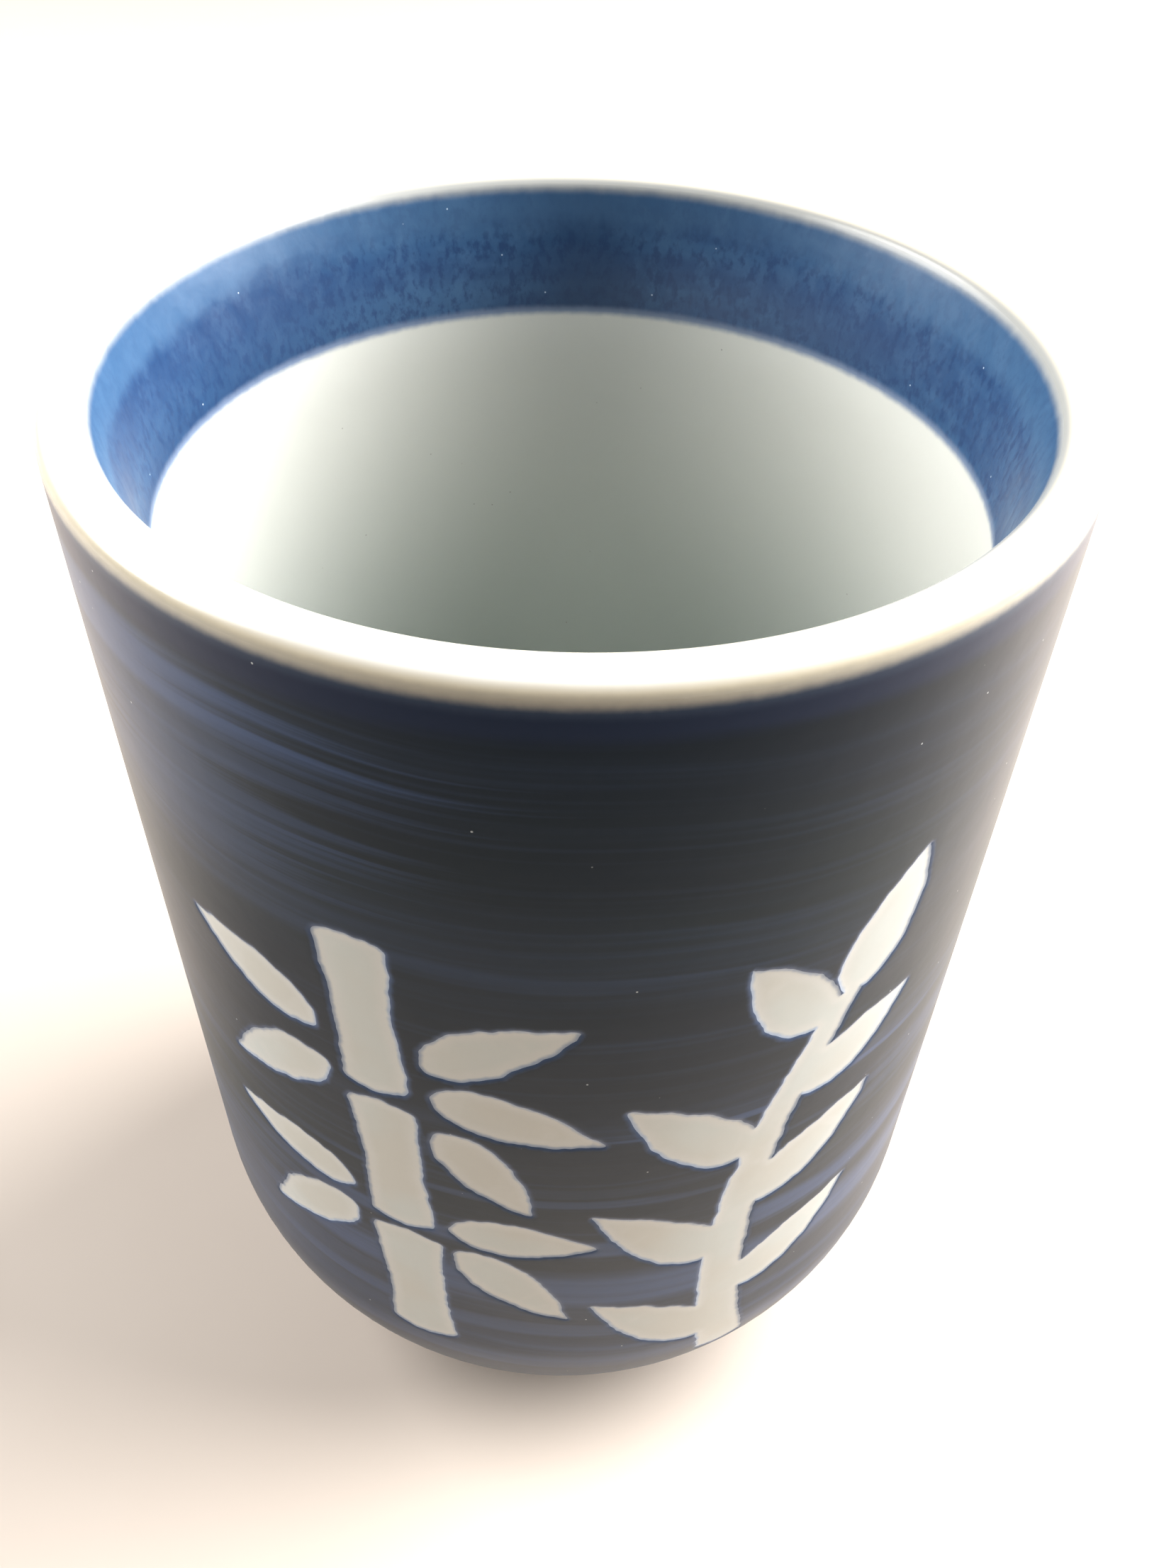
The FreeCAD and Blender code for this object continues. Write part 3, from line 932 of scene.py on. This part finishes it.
def well_glaze():
    """Clear glaze pooled under the cup."""
    look = Look("well_glaze")
    tone = look.cloud(look.where, 90, detail=3)
    colour = look.mix(look.ramp(tone, 0.3, 0.7), WELL_WHITE, WELL_SHADE)
    colour = specks(look, colour, GRAIN)
    return look.finish(colour, look.ramp(tone, 0.3, 0.7, 0.18, 0.26), orange_peel(look), 0.25, 0.0001)


def bare_porcelain(name):
    """Unglazed fired clay: matt, with fine grain and faint scuffs."""
    look = Look(name)
    grain = look.cloud(look.where, 2600, detail=4, roughness=0.65)
    scuffs = look.cloud(look.stretched((700, 700, 2500)), roughness=0.6)
    colour = look.mix(look.ramp(grain, 0.35, 0.7), CLAY, CLAY_PALE)
    colour = look.mix(look.ramp(scuffs, 0.58, 0.75, 0, 0.5), colour, CLAY_SCUFF)
    return look.finish(colour, look.ramp(grain, 0.3, 0.7, 0.65, 0.85), grain, 0.5, 0.00015)


# ---------------------------------------------------------------- the pieces

def make_cup():
    wrapped_coat()
    turned_coat("lip_glaze_surface", lip_section(), lip_glaze(), "lip_glaze")
    turned_coat("inner_band_surface", band_section(), band_glaze(), "inner_cobalt_band")
    turned_coat("inner_liner_surface", liner_section(), liner_glaze(), "inner_liner_glaze")
    foot = bare_porcelain("bare_foot")
    turned_coat("foot_ring_surface", foot_section(), foot, "foot_ring", FOOT_COLUMNS, FOOT_SKIN)
    turned_coat("foot_well_surface", well_section(), well_glaze(), "foot_well_glaze", WELL_COLUMNS)
    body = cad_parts["porcelain_body"]
    body.data.materials.clear()
    body.data.materials.append(bare_porcelain("fired_body"))


# ---------------------------------------------------------------- floor, light and camera

FLOOR_SIZE = 1.0
FLOOR_FADE = (0.35, 0.95)  # metres from the cup over which the floor gives way to the backdrop
FLOOR_PALE = (0.635, 0.556, 0.486)
FLOOR_SHADE = (0.620, 0.541, 0.472)

# The paper behind the cup, which lights nothing: white below the horizon, a little darker above it.
BACKDROP_RANGE = (-0.2, 0.12, 1.0, 0.60)

# The way in which the room is dim, and its strength from the pale side to the dim one.
DIM_SIDE = (0, -0.8, 0.6)
DIM_RANGE = (-0.3, 0.6, 0.27, 0.03)
RANGE_SOCKETS = ("From Min", "From Max", "To Min", "To Max")
ROOM_TINT = (1.0, 0.985, 0.965, 1)

# Name, place and aim in metres, width in metres and power in watts.
LIGHTS = [
    ("right_window", (0.60, 0.185, 0.50), (0, 0, 0.05), 0.8, 25),
    ("left_fill", (-0.65, 0.12, 0.50), (0, 0, 0.08), 0.7, 11.5),
]

CAMERA_DISTANCE = 2.7068 * OUTER_R  # mm from the middle of the rim
CAMERA_ELEVATION = 26.06  # degrees
CAMERA_LENS = 30.92  # mm
RIM_Z = HEIGHT - 0.25
CAMERA_LEAN = (-0.0148, -0.30794, -0.02434)  # radians right, up and round from facing the rim's middle
SENSOR_WIDTH = 36  # mm
NEAREST = 0.005  # metres from the camera
VIEW_GAMMA = 0.88


def floor_look():
    look = Look("floor")
    tone = look.cloud(look.where, 25)
    colour = look.mix(look.ramp(tone, 0.3, 0.7), FLOOR_PALE, FLOOR_SHADE)
    x, y, _ = look.axes()
    reach = look.maths("SQRT", look.maths("MULTIPLY_ADD", x, x, look.maths("MULTIPLY", y, y)))
    look.feed(look.shader.inputs["Alpha"], look.ramp(reach, *FLOOR_FADE, 1.0, 0.0))
    return look.finish(colour, look.ramp(tone, 0.3, 0.7, 0.55, 0.65), tone, 0.05, 0.0002)


def make_floor():
    mesh = bpy.data.meshes.new("floor")
    corners = [(-1, -1), (1, -1), (1, 1), (-1, 1)]
    mesh.from_pydata([(x * FLOOR_SIZE, y * FLOOR_SIZE, 0) for x, y in corners], [], [(0, 1, 2, 3)])
    mesh.materials.append(floor_look())
    floor = bpy.data.objects.new("floor", mesh)
    bpy.context.collection.objects.link(floor)


def soft_light(name, place, aim, size, power):
    data = bpy.data.lights.new(name, "AREA")
    data.shape = "DISK"
    data.size = size
    data.energy = power
    light = bpy.data.objects.new(name, data)
    light.location = place
    light.rotation_euler = (Vector(aim) - Vector(place)).to_track_quat("-Z", "Y").to_euler()
    bpy.context.collection.objects.link(light)


def make_world():
    """A pale room, dim on the side that the cup's decorated front faces."""
    world = bpy.data.worlds.new("studio")
    bpy.context.scene.world = world
    world.use_nodes = True
    tree = world.node_tree
    direction = tree.nodes.new("ShaderNodeTexCoord").outputs["Generated"]
    towards = tree.nodes.new("ShaderNodeVectorMath")
    towards.operation = "DOT_PRODUCT"
    tree.links.new(direction, towards.inputs[0])
    towards.inputs[1].default_value = Vector(DIM_SIDE).normalized()
    level = tree.nodes.new("ShaderNodeMapRange")
    level.interpolation_type = "SMOOTHSTEP"
    tree.links.new(towards.outputs["Value"], level.inputs["Value"])
    for key, value in zip(RANGE_SOCKETS, DIM_RANGE):
        level.inputs[key].default_value = value
    height = tree.nodes.new("ShaderNodeSeparateXYZ")
    tree.links.new(direction, height.inputs[0])
    paper = tree.nodes.new("ShaderNodeMapRange")
    paper.interpolation_type = "SMOOTHSTEP"
    tree.links.new(height.outputs["Z"], paper.inputs["Value"])
    for key, value in zip(RANGE_SOCKETS, BACKDROP_RANGE):
        paper.inputs[key].default_value = value
    backdrop = tree.nodes.new("ShaderNodeMix")
    seen = tree.nodes.new("ShaderNodeLightPath").outputs["Is Camera Ray"]
    tree.links.new(seen, backdrop.inputs["Factor"])
    tree.links.new(level.outputs[0], backdrop.inputs["A"])
    tree.links.new(paper.outputs[0], backdrop.inputs["B"])
    background = tree.nodes["Background"]
    background.inputs["Color"].default_value = ROOM_TINT
    tree.links.new(backdrop.outputs["Result"], background.inputs["Strength"])


def make_camera():
    data = bpy.data.cameras.new("camera")
    data.sensor_fit = "AUTO"
    data.sensor_width = SENSOR_WIDTH
    data.lens = CAMERA_LENS
    data.clip_start = NEAREST
    camera = bpy.data.objects.new("camera", data)
    angle = math.radians(CAMERA_ELEVATION)
    away = Vector((0, -math.cos(angle), math.sin(angle)))
    forward = -away
    right = Vector((1, 0, 0))
    up = right.cross(forward)
    aside, lift, roll = CAMERA_LEAN
    turn = Matrix.Rotation(aside, 3, up)
    forward, right = turn @ forward, turn @ right
    tilt = Matrix.Rotation(lift, 3, right)
    forward, up = tilt @ forward, right.cross(tilt @ forward)
    spin = Matrix.Rotation(roll, 3, forward)
    right, up = spin @ right, spin @ up
    axes = Matrix((right, up, -forward)).transposed().to_4x4()
    axes.translation = (away * CAMERA_DISTANCE + Vector((0, 0, RIM_Z))) * MM
    camera.matrix_world = axes
    bpy.context.collection.objects.link(camera)
    bpy.context.scene.camera = camera


make_cup()
make_floor()
make_world()
for light in LIGHTS:
    soft_light(*light)
make_camera()
bpy.context.scene.view_settings.view_transform = "Standard"
bpy.context.scene.view_settings.gamma = VIEW_GAMMA
